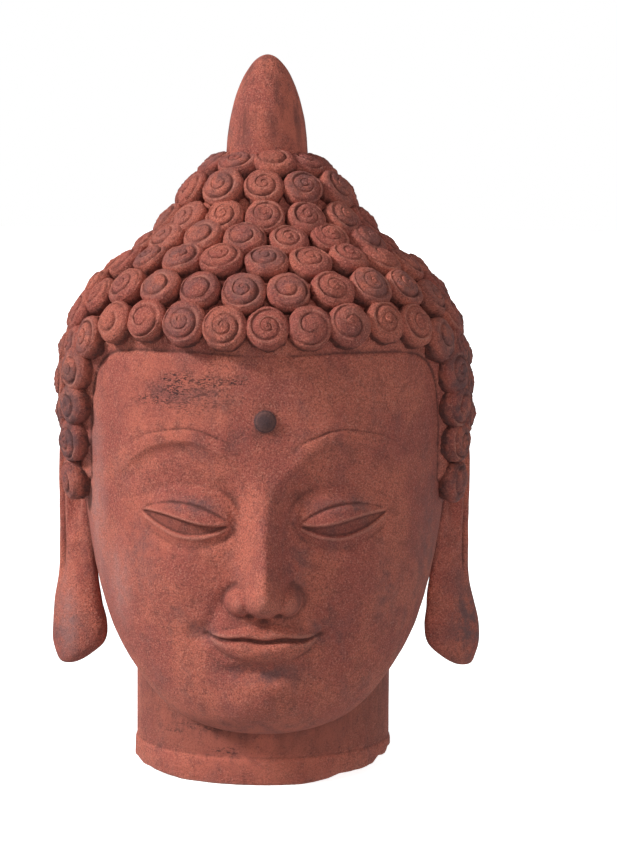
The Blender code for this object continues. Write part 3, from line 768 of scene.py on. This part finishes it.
def curl_mesh(name, whorls, growth, depth):
    """A snail-shell curl as one closed sheet whose rows run along its winding groove, from root to centre."""
    angle = round_angles(CURL_COLUMNS)
    r, z, groove, lip = curl_top(whorls, growth, depth, angle)
    share, level = np.array(CURL_WALL[:-1]).T[:, :, None]
    first, plain = len(share), 0 * (share + angle)
    r = np.concatenate([share * CURL_RADIUS + plain, r])
    z = np.concatenate([level * np.where(level < 0, CURL_ROOT, CURL_HEIGHT) + plain, z])
    body = np.stack([r * np.cos(angle), r * np.sin(angle), z], axis=-1).reshape(-1, 3)
    points = np.concatenate([[(0, 0, z[0, 0])], body, [(0, 0, CURL_HEIGHT + BUTTON_HEIGHT)]])
    mesh = bpy.data.meshes.new(name)
    mesh.from_pydata(points.tolist(), [], curl_faces(len(r), first))
    keep_values(mesh, "groove", np.concatenate([[0], plain.ravel(), groove.ravel(), [0]]))
    keep_values(mesh, "lip", np.concatenate([[0], plain.ravel(), lip.ravel(), [0]]))
    keep_values(mesh, "top", np.concatenate([[0], np.clip(z / CURL_HEIGHT, 0, 1).ravel(), [1]]))
    loose = bmesh.new()
    loose.from_mesh(mesh)
    bmesh.ops.delete(loose, geom=[v for v in loose.verts if not v.link_faces], context="VERTS")
    loose.to_mesh(mesh)
    loose.free()
    return mesh


def keep_values(mesh, name, values):
    """Keeps a number for every vertex in the mesh, under a name that the clay reads."""
    kept = mesh.attributes.new(name, "FLOAT", "POINT").data
    kept.foreach_set("value", np.ascontiguousarray(values, np.float32))


def put(mesh, name):
    """A new object in the scene."""
    thing = bpy.data.objects.new(name, mesh)
    bpy.context.scene.collection.objects.link(thing)
    return thing


def baked(thing, name):
    """The finished mesh of an object, its modifiers applied, as a new object in its place."""
    mesh = bpy.data.meshes.new_from_object(thing.evaluated_get(bpy.context.evaluated_depsgraph_get()))
    mesh.name = name
    bpy.data.objects.remove(thing)
    return put(mesh, name)


def one_skin(thing, voxel, triangles):
    """The outer skin of everything in an object, as one closed mesh of so many triangles."""
    remesh = thing.modifiers.new("one skin", "REMESH")
    remesh.mode = "VOXEL"
    remesh.voxel_size = voxel
    thing = baked(thing, thing.name + " skin")
    fewer = thing.modifiers.new("facet", "DECIMATE")
    fewer.ratio = min(1, triangles / sum(len(p.vertices) - 2 for p in thing.data.polygons))
    return thing


class Nodes:
    """A node tree that makes its nodes from one call."""

    def __init__(self, tree):
        self.tree = tree

    def add(self, kind, inputs=None, output=0, **settings):
        node = self.tree.nodes.new(kind)
        for name, value in settings.items():
            setattr(node, name, value)
        for place, value in (inputs or {}).items():
            self.feed(node.inputs[place], value)
        return Link(self, node.outputs[output])

    def feed(self, socket, value):
        if isinstance(value, Link):
            self.tree.links.new(value.socket, socket)
        else:
            socket.default_value = value

    def mix(self, share, under, over):
        """One colour over another, covering a share of it."""
        wanted = {"Factor": share, 6: under, 7: over}
        return self.add("ShaderNodeMix", wanted, output=2, data_type="RGBA")


class Link:
    """The output of a node, on which the operators add Math nodes."""

    def __init__(self, nodes, socket):
        self.nodes, self.socket = nodes, socket

    def __add__(self, other):
        return self.nodes.add("ShaderNodeMath", {0: self, 1: other}, operation="ADD")

    def __mul__(self, other):
        return self.nodes.add("ShaderNodeMath", {0: self, 1: other}, operation="MULTIPLY")

    def ease(self, low, high):
        """0 at low, 1 at high, smooth between."""
        wanted = {"Value": self, "From Min": low, "From Max": high}
        return self.nodes.add("ShaderNodeMapRange", wanted, interpolation_type="SMOOTHSTEP")


def curls_tree():
    """Geometry Nodes that set a curl pattern on every point."""
    tree = bpy.data.node_groups.new("curls on points", "GeometryNodeTree")
    face = tree.interface
    face.new_socket("Points", in_out="INPUT", socket_type="NodeSocketGeometry")
    face.new_socket("Patterns", in_out="INPUT", socket_type="NodeSocketCollection")
    face.new_socket("Clay", in_out="INPUT", socket_type="NodeSocketMaterial")
    face.new_socket("Curls", in_out="OUTPUT", socket_type="NodeSocketGeometry")
    made = Nodes(tree)
    given = tree.nodes.new("NodeGroupInput")

    def from_input(name):
        return Link(made, given.outputs[name])

    def attribute(name, kind):
        return made.add("GeometryNodeInputNamedAttribute", {"Name": name}, data_type=kind)

    wanted = {"Collection": from_input("Patterns"), "Separate Children": True}
    patterns = made.add("GeometryNodeCollectionInfo", wanted)
    set_out = made.add(
        "GeometryNodeInstanceOnPoints",
        {
            "Points": from_input("Points"),
            "Instance": patterns,
            "Pick Instance": True,
            "Instance Index": attribute("pattern", "INT"),
            "Rotation": attribute("turn", "FLOAT_VECTOR"),
            "Scale": attribute("size", "FLOAT_VECTOR"),
        },
    )
    curls = made.add("GeometryNodeRealizeInstances", {"Geometry": set_out})
    clay = made.add("GeometryNodeSetMaterial", {"Geometry": curls, "Material": from_input("Clay")})
    end = tree.nodes.new("NodeGroupOutput")
    tree.links.new(clay.socket, end.inputs[0])
    return tree


def give_input(modifier, name, value):
    """Sets the input of this name on a Geometry Nodes modifier."""
    for item in modifier.node_group.interface.items_tree:
        if item.name == name and item.in_out == "INPUT":
            modifier[item.identifier] = value


def curl_patterns():
    """A collection with one curl for each winding."""
    patterns = bpy.data.collections.new("curl patterns")
    for k, winding in enumerate(WINDINGS):
        patterns.objects.link(bpy.data.objects.new(f"curl {k}", curl_mesh(f"curl {k}", *winding)))
    return patterns


def curls(name, places, tree, patterns, clay, seed):
    """One piece of the hair: a curl at each of these places."""
    chance = random.Random(seed)
    turns, sizes = [], []
    for place in places:
        even = place.to_scale().x
        turns.append(place.to_euler())
        sizes.append((even * chance.uniform(0.96, 1.04), even, even * chance.uniform(0.9, 1.02)))
    points = bpy.data.meshes.new(name + " points")
    points.from_pydata([place.translation for place in places], [], [])
    points.attributes.new("turn", "FLOAT_VECTOR", "POINT").data.foreach_set("vector", np.array(turns).ravel())
    points.attributes.new("size", "FLOAT_VECTOR", "POINT").data.foreach_set("vector", np.array(sizes).ravel())
    picks = [chance.randrange(len(WINDINGS)) for _ in places]
    points.attributes.new("pattern", "INT", "POINT").data.foreach_set("value", picks)
    keep_values(points, "tone", [chance.random() for _ in places])
    hair = put(points, name + " points")
    grow = hair.modifiers.new("curls", "NODES")
    grow.node_group = tree
    give_input(grow, "Patterns", patterns)
    give_input(grow, "Clay", clay)
    hair = baked(hair, name)
    height = np.empty(len(hair.data.vertices), np.float32)
    hair.data.attributes["top"].data.foreach_get("value", height)
    low = 1 - ease(0.15, 0.42, height)
    roughened(hair.data, 0.011, 0.0012)
    roughened(hair.data, 0.0040, 0.0002 + 0.0014 * low)
    roughened(hair.data, 0.0020, 0.0005 + 0.0009 * low)
    return hair


def vectors(items, name):
    """A vector from every item of a mesh, as rows of three numbers."""
    flat = np.empty(len(items) * 3, np.float32)
    items.foreach_get(name, flat)
    return flat.reshape(-1, 3)


def joined(name, meshes):
    """One object from (mesh, matrix) pairs."""
    points, quads, base = [], [], 0
    for mesh, matrix in meshes:
        mesh.transform(matrix)
        corners = np.empty(len(mesh.loops), np.int32)
        mesh.loops.foreach_get("vertex_index", corners)
        points.append(vectors(mesh.vertices, "co"))
        quads.append(corners.reshape(-1, 4) + base)
        base += len(mesh.vertices)
    return put(mesh_of(name, np.concatenate(points), np.concatenate(quads)), name)


def bare_head():
    """Face, ears, cap, neck and finial as one piece."""
    whole, scaled = Matrix.Identity(4), Matrix.Scale(PART, 4)
    meshes = [(grid_mesh("head", carved_head(*HEAD_GRID)), scaled)]
    meshes += [(ear_mesh(side, *EAR_GRID), scaled) for side in (-1, 1)]
    meshes += [(cap_mesh(*CAP_GRID), scaled), (finial_mesh(), whole), (neck_mesh(), whole)]
    head = one_skin(joined("head", meshes), VOXEL, HEAD_TRIANGLES)
    return baked(head, "clay_head")


def averaged(values, edges, rounds):
    """Values spread along edges, each time half of a point's own and half of its neighbours' mean."""
    first, second = edges.T
    count = np.maximum(np.bincount(edges.ravel(), minlength=len(values)), 1)
    for _ in range(rounds):
        total = np.bincount(first, values[second], len(values))
        total += np.bincount(second, values[first], len(values))
        values = 0.5 * values + 0.5 * total / count
    return values


def hollows(mesh):
    """How hollow the surface is at each vertex, 1 in a crease and -1 on an edge: finely and broadly."""
    points, outward = vectors(mesh.vertices, "co"), vectors(mesh.vertex_normals, "vector")
    points, outward = points.astype(float), outward.astype(float)
    edges = np.empty(len(mesh.edges) * 2, np.int32)
    mesh.edges.foreach_get("vertices", edges)
    edges = edges.reshape(-1, 2)
    first, second = edges.T
    along_edge = points[second] - points[first]
    square = np.maximum((along_edge**2).sum(axis=1), 1e-12)
    bend = np.bincount(first, (along_edge * outward[first]).sum(axis=1) / square, len(points))
    bend += np.bincount(second, -(along_edge * outward[second]).sum(axis=1) / square, len(points))
    bend /= np.maximum(np.bincount(edges.ravel(), minlength=len(points)), 1)
    return [np.clip(averaged(bend, edges, rounds) / full, -1, 1) for rounds, full in HOLLOWS]


def roughened(mesh, size, reach):
    """Moves every vertex along its normal by soft noise of this size and reach."""
    points, outward = vectors(mesh.vertices, "co"), vectors(mesh.vertex_normals, "vector")
    lift = np.array([noise.noise(Vector(p) / size) for p in points])
    points = points + outward * (lift * reach)[:, None]
    mesh.vertices.foreach_set("co", points.astype(np.float32).ravel())
    mesh.update()


def crumbled(mesh):
    """The clay under the curls and between them, pressed on in crumbs."""
    points = vectors(mesh.vertices, "co") / PART
    turn, height = bearing(points), points[:, 2]
    ear = (turn > BEHIND_EAR[0]) & (turn < BEHIND_EAR[1]) & (height < EAR_TOP_Z)
    hidden = ease(2.5, 7, inside_hairline(points)) * (1 - ease(CROWN_Z - 10, CROWN_Z, height))
    roughened(mesh, 0.0032, 0.0012 * hidden * ~ear)


class Clay(Nodes):
    """The nodes of a clay material, whose colour is painted on in coats over red clay."""

    def __init__(self, tree):
        super().__init__(tree)
        self.place = self.add("ShaderNodeTexCoord", output="Object")
        self.colour = RED_CLAY

    def grain(self, size, detail, rough, stretch=(1, 1, 1), at=(0, 0, 0)):
        """Noise whose features are about this many metres across."""
        scale = tuple(1 / (size * s) for s in stretch)
        moved = self.add("ShaderNodeMapping", {"Vector": self.place, "Scale": scale, "Location": at})
        wanted = {"Vector": moved, "Scale": 1.0, "Detail": detail, "Roughness": rough}
        return self.add("ShaderNodeTexNoise", wanted)

    def given(self, attribute):
        """A number kept in the mesh."""
        return self.add("ShaderNodeAttribute", output="Fac", attribute_name=attribute)

    def smudge(self, centre, radii, edge=0.0):
        """1 at a place on the surface, fading to 0 at these distances from it."""
        scale = tuple(1 / r for r in radii)
        moved = self.add("ShaderNodeVectorMath", {0: self.place, 1: centre}, operation="SUBTRACT")
        moved = self.add("ShaderNodeVectorMath", {0: moved, 1: scale}, operation="MULTIPLY")
        far = self.add("ShaderNodeVectorMath", {0: moved}, operation="LENGTH", output="Value")
        return far.ease(1.0, edge)

    def paint(self, share, colour):
        """A coat that covers this share of what is under it."""
        self.colour = self.mix(share, self.colour, colour)

    def paint_places(self, places, edge, broken, colour):
        """A coat at every one of these places, broken up by a pattern."""
        for centre, radii, share in places:
            self.paint(self.smudge(centre, radii, edge) * broken * share, colour)


def curl_coats(clay, cloud, speck):
    """Bloom on top of the curls and a dark film at the temples, painted shade low down between them and in
    their grooves, and painted highlights on the grooves' lips; returns how coarse the clay is.
    """
    top, groove, lip = clay.given("top"), clay.given("groove"), clay.given("lip")
    bloom = clay.grain(0.012, 4.0, 0.6, at=(0, 4, 0)).ease(0.32, 0.60)
    bloom = top.ease(0.45, 0.95) * clay.given("tone").ease(0.15, 0.95) * bloom
    clay.paint(bloom * 0.62, GREY_BLOOM_AND_SHADOW)
    # Painted shade low on the curls and between them, speckled and then even.
    clay.paint(top.ease(0.58, 0.20) * speck.ease(0.42, 0.60) * 0.70, SHADE)
    clay.paint(top.ease(0.50, 0.10) * 0.72, SHADE)
    clay.paint(top.ease(0.68, 0.45) * cloud.ease(0.60, 0.35) * 0.35, ORANGE_CLAY_AND_LIGHT)
    # Painted highlight along the lips of the grooves.
    clay.paint(lip * cloud.ease(0.64, 0.44) * 0.7, PALE_CLAY_AND_HIGHLIGHT)
    # Painted shade in the grooves.
    clay.paint(groove * (cloud.ease(0.35, 0.60) * 0.35 + 0.5), SHADE)
    clay.paint_places(TEMPLES, 0.3, cloud.ease(0.30, 0.64) * (top.ease(0.30, 0.85) * 0.5 + 0.5), PATINA)
    return top.ease(0.50, 0.10) + 0.3


def head_coats(clay, cloud):
    """What has settled on the face, ears, finial and neck, with painted shade in hollows, in creases, under
    the chin and above the band, painted light from below on the neck, and paler clay on edges; returns how
    coarse the clay is.
    """
    bloom = clay.grain(0.022, 5.0, 0.62, stretch=(0.8, 0.8, 1.5), at=(2, 7, 1)).ease(0.50, 0.74)
    clay.paint(bloom * 0.30, GREY_BLOOM_AND_SHADOW)
    # Clean clay; on the neck and its band, painted light from below.
    clay.paint_places(CLEAN_CLAY_AND_NECK_LIGHT, 0.4, cloud.ease(0.72, 0.40), ORANGE_CLAY_AND_LIGHT)
    # Grey bloom, and a painted shadow under the chin.
    clay.paint_places(BLOOMS_AND_CHIN_SHADOW, 0.0, cloud.ease(0.28, 0.62), GREY_BLOOM_AND_SHADOW)
    # Paler and lilac along the left edge.
    clay.paint_places(PALE_LEFT_STRIP, 0.0, cloud.ease(0.20, 0.60), PALE_LILAC)
    dry = clay.grain(0.0016, 3.0, 0.7, stretch=(2.2, 1, 0.6), at=(1, 2, 3)).ease(0.48, 0.56)
    dry = dry * clay.grain(0.006, 2.0, 0.6, stretch=(2.0, 1, 0.5), at=(4, 2, 3)).ease(0.36, 0.50)
    clay.paint_places(STREAKS, 0.4, dry, SOOT)
    clay.paint(clay.smudge((0, -0.155, URNA_Z * PART), (0.0100, 0.03, 0.0100), 0.82) * 0.88, SLATE)
    stains = clay.grain(0.011, 4.0, 0.6, stretch=(1, 1, 6), at=(4, 4, 0))
    finial = clay.smudge((0, 0, 0.56), (0.07, 0.07, 0.085), 0.3)
    clay.paint(stains.ease(0.46, 0.64) * finial * 0.75, BROWN_CLAY)
    clay.paint(stains.ease(0.40, 0.28) * finial * 0.45, ORANGE_CLAY_AND_LIGHT)
    seam = clay.grain(0.004, 3.0, 0.7, stretch=(1, 1, 2)).ease(0.38, 0.56)
    clay.paint(clay.smudge(*SEAM, 0.2) * seam * 0.8, BROWN_CLAY)
    # Painted shadow line just above the neck's band, where the neck steps in.
    ledge_shadow = clay.smudge((0, 0, NECK_BAND_HEIGHT + 0.0016), (0.13, 0.13, 0.0026), 0.5)
    clay.paint(ledge_shadow * cloud.ease(0.26, 0.50) * 0.75, SHADE)
    drips = clay.grain(0.006, 3.0, 0.6, stretch=(1, 1, 8), at=(1, 4, 0)).ease(0.50, 0.64)
    clay.paint(drips * clay.smudge((0, -0.06, 0.055), (0.13, 0.09, 0.034), 0.5) * 0.4, BROWN_CLAY)
    hollow, broad = clay.given("hollow"), clay.given("broad")
    # Painted shade in fine hollows and in broad creases.
    clay.paint(hollow.ease(0.10, 0.75) * 0.65, SHADE)
    clay.paint(broad.ease(0.12, 0.7) * 0.38, SHADE)
    # Paler clay on edges and ridges.
    clay.paint(hollow.ease(-0.12, -0.7) * 0.30, PALE_CLAY_AND_HIGHLIGHT)
    return clay.smudge((0, 0, 0.008), (0.14, 0.14, 0.022), 0.4)


def clay_finish(name, hair):
    """Matt fired clay with sandy grain and painted shade in its pores, under what has settled on the hair or
    on the rest of the head and the painted shade and light there.
    """
    material = bpy.data.materials.new(name)
    material.use_nodes = True
    material.node_tree.nodes.clear()
    clay = Clay(material.node_tree)
    sand = clay.grain(0.0013, 2.0, 0.7, at=(5, 0, 0))
    cloud = clay.grain(0.011, 4.0, 0.62, at=(3, 1, 2))
    speck = clay.grain(0.0027, 3.0, 0.65, at=(8, 1, 0))
    clay.paint(clay.grain(0.05, 4.0, 0.55).ease(0.40, 0.60), ORANGE_CLAY_AND_LIGHT)
    clay.paint(cloud.ease(0.46, 0.72) * 0.50, BROWN_CLAY)
    clay.paint(speck.ease(0.53, 0.68) * 0.50, BROWN_CLAY)
    clay.paint(sand.ease(0.50, 0.64) * 0.70, BROWN_CLAY)
    clay.paint(speck.ease(0.44, 0.28) * 0.35, ORANGE_CLAY_AND_LIGHT)
    clay.paint(sand.ease(0.47, 0.32) * 0.60, PALE_CLAY_AND_HIGHLIGHT)
    coarse = curl_coats(clay, cloud, speck) if hair else head_coats(clay, cloud)
    pores = clay.grain(0.0010, 2.0, 0.6, at=(1, 7, 0))
    # Painted shade in the pores.
    clay.paint(pores.ease(0.57, 0.68) * 0.55, SHADE)
    height = clay.grain(0.0035, 4.0, 0.6) * 0.6 + pores * 0.35 + sand * 0.45
    height = height * (coarse * 1.3 + 1.0)
    bump = clay.add("ShaderNodeBump", {"Strength": 1.0, "Distance": 0.0018, "Height": height})
    surface = {"Base Color": clay.colour, "Roughness": 0.88, "Normal": bump, "Specular IOR Level": 0.2}
    shader = clay.add("ShaderNodeBsdfPrincipled", surface)
    out = material.node_tree.nodes.new("ShaderNodeOutputMaterial")
    clay.feed(out.inputs["Surface"], shader)
    return material


def camera():
    """The photograph's view: its place, aim, roll and focal length in pixels of an image 617 by 853."""
    eye, aim, roll, focal = Vector((0, -2.0, 0.4762)), Vector((0.0369, 0, 0.2865)), 0.5, 2359.4
    lens = bpy.data.cameras.new("photograph")
    lens.sensor_width = 36
    lens.lens = lens.sensor_width * focal / 853
    view = put(lens, "photograph")
    turn = (aim - eye).to_track_quat("-Z", "Y").to_matrix() @ Matrix.Rotation(math.radians(roll), 3, "Z")
    view.matrix_world = Matrix.Translation(eye) @ turn.to_4x4()
    bpy.context.scene.camera = view


def sun(name, at, strength, softness):
    """Even light from the direction of a place, as from a large panel this many degrees wide."""
    light = bpy.data.lights.new(name, "SUN")
    light.energy = strength
    light.angle = math.radians(softness)
    put(light, name).rotation_euler = Vector(at).to_track_quat("Z", "Y").to_euler()


def studio():
    """A plain pale floor in white surroundings, lit softly and mostly from the upper left."""
    corners = np.array([(-40, -40, 0), (40, -40, 0), (40, 40, 0), (-40, 40, 0)], float)
    floor = put(mesh_of("floor", corners, np.array([[0, 1, 2, 3]])), "floor")
    pale = bpy.data.materials.new("pale floor")
    pale.use_nodes = True
    made = Nodes(pale.node_tree)
    shade = pale.node_tree.nodes["Principled BSDF"]
    place = made.add("ShaderNodeTexCoord", output="Object")
    cloud = made.add("ShaderNodeTexNoise", {"Vector": place, "Scale": 3.0, "Detail": 2.0})
    made.feed(shade.inputs["Base Color"], made.mix(cloud, (0.88, 0.88, 0.88, 1), (0.91, 0.91, 0.91, 1)))
    shade.inputs["Roughness"].default_value = 0.95
    shade.inputs["Specular IOR Level"].default_value = 0.0
    shade.inputs["Emission Color"].default_value = (1, 1, 1, 1)
    shade.inputs["Emission Strength"].default_value = 0.85
    floor.data.materials.append(pale)
    floor.visible_diffuse = False
    sun("key", (-1.5, -0.42, 1.0), 3.35, 12)
    sun("fill", (0.30, -1.0, 0.1), 1.17, 46)
    world = bpy.data.worlds.new("studio")
    world.use_nodes = True
    made = Nodes(world.node_tree)
    sky = world.node_tree.nodes["Background"]
    sky.inputs["Color"].default_value = (1, 1, 1, 1)
    seen = made.add("ShaderNodeLightPath", output="Is Camera Ray")
    made.feed(sky.inputs["Strength"], seen * 0.71 + 0.29)
    bpy.context.scene.world = world
    bpy.context.scene.view_settings.view_transform = "Standard"


def by_quarter(places):
    """The curls' places by the name of their piece: two sides and, of each, the back."""
    quarters = {}
    for place in places:
        turn = math.degrees(math.atan2(place.translation.x, -place.translation.y))
        side = "curls_right" if turn > 0 else "curls_left"
        quarters.setdefault(side + "_back" if abs(turn) > BACK_BEARING else side, []).append(place)
    return quarters


def finished(thing, clay):
    """Gives a piece its clay, shades it smooth, sets it under the root body and hides the imported head."""
    thing.data.materials.clear()
    thing.data.materials.append(clay)
    thing.data.shade_smooth()
    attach(thing, "root")
    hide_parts("buddha_head")


camera()
studio()

places = curl_places()
head_clay = clay_finish("fired clay", hair=False)
hair_clay = clay_finish("fired clay of the curls", hair=True)

head = bare_head()
roughened(head.data, 0.012, 0.0003)
crumbled(head.data)
fine, broad = hollows(head.data)
keep_values(head.data, "hollow", fine)
keep_values(head.data, "broad", broad)
finished(head, head_clay)

tree, patterns = curls_tree(), curl_patterns()
for seed, (name, quarter) in enumerate(sorted(by_quarter(places).items())):
    finished(curls(name, quarter, tree, patterns, hair_clay, seed), hair_clay)
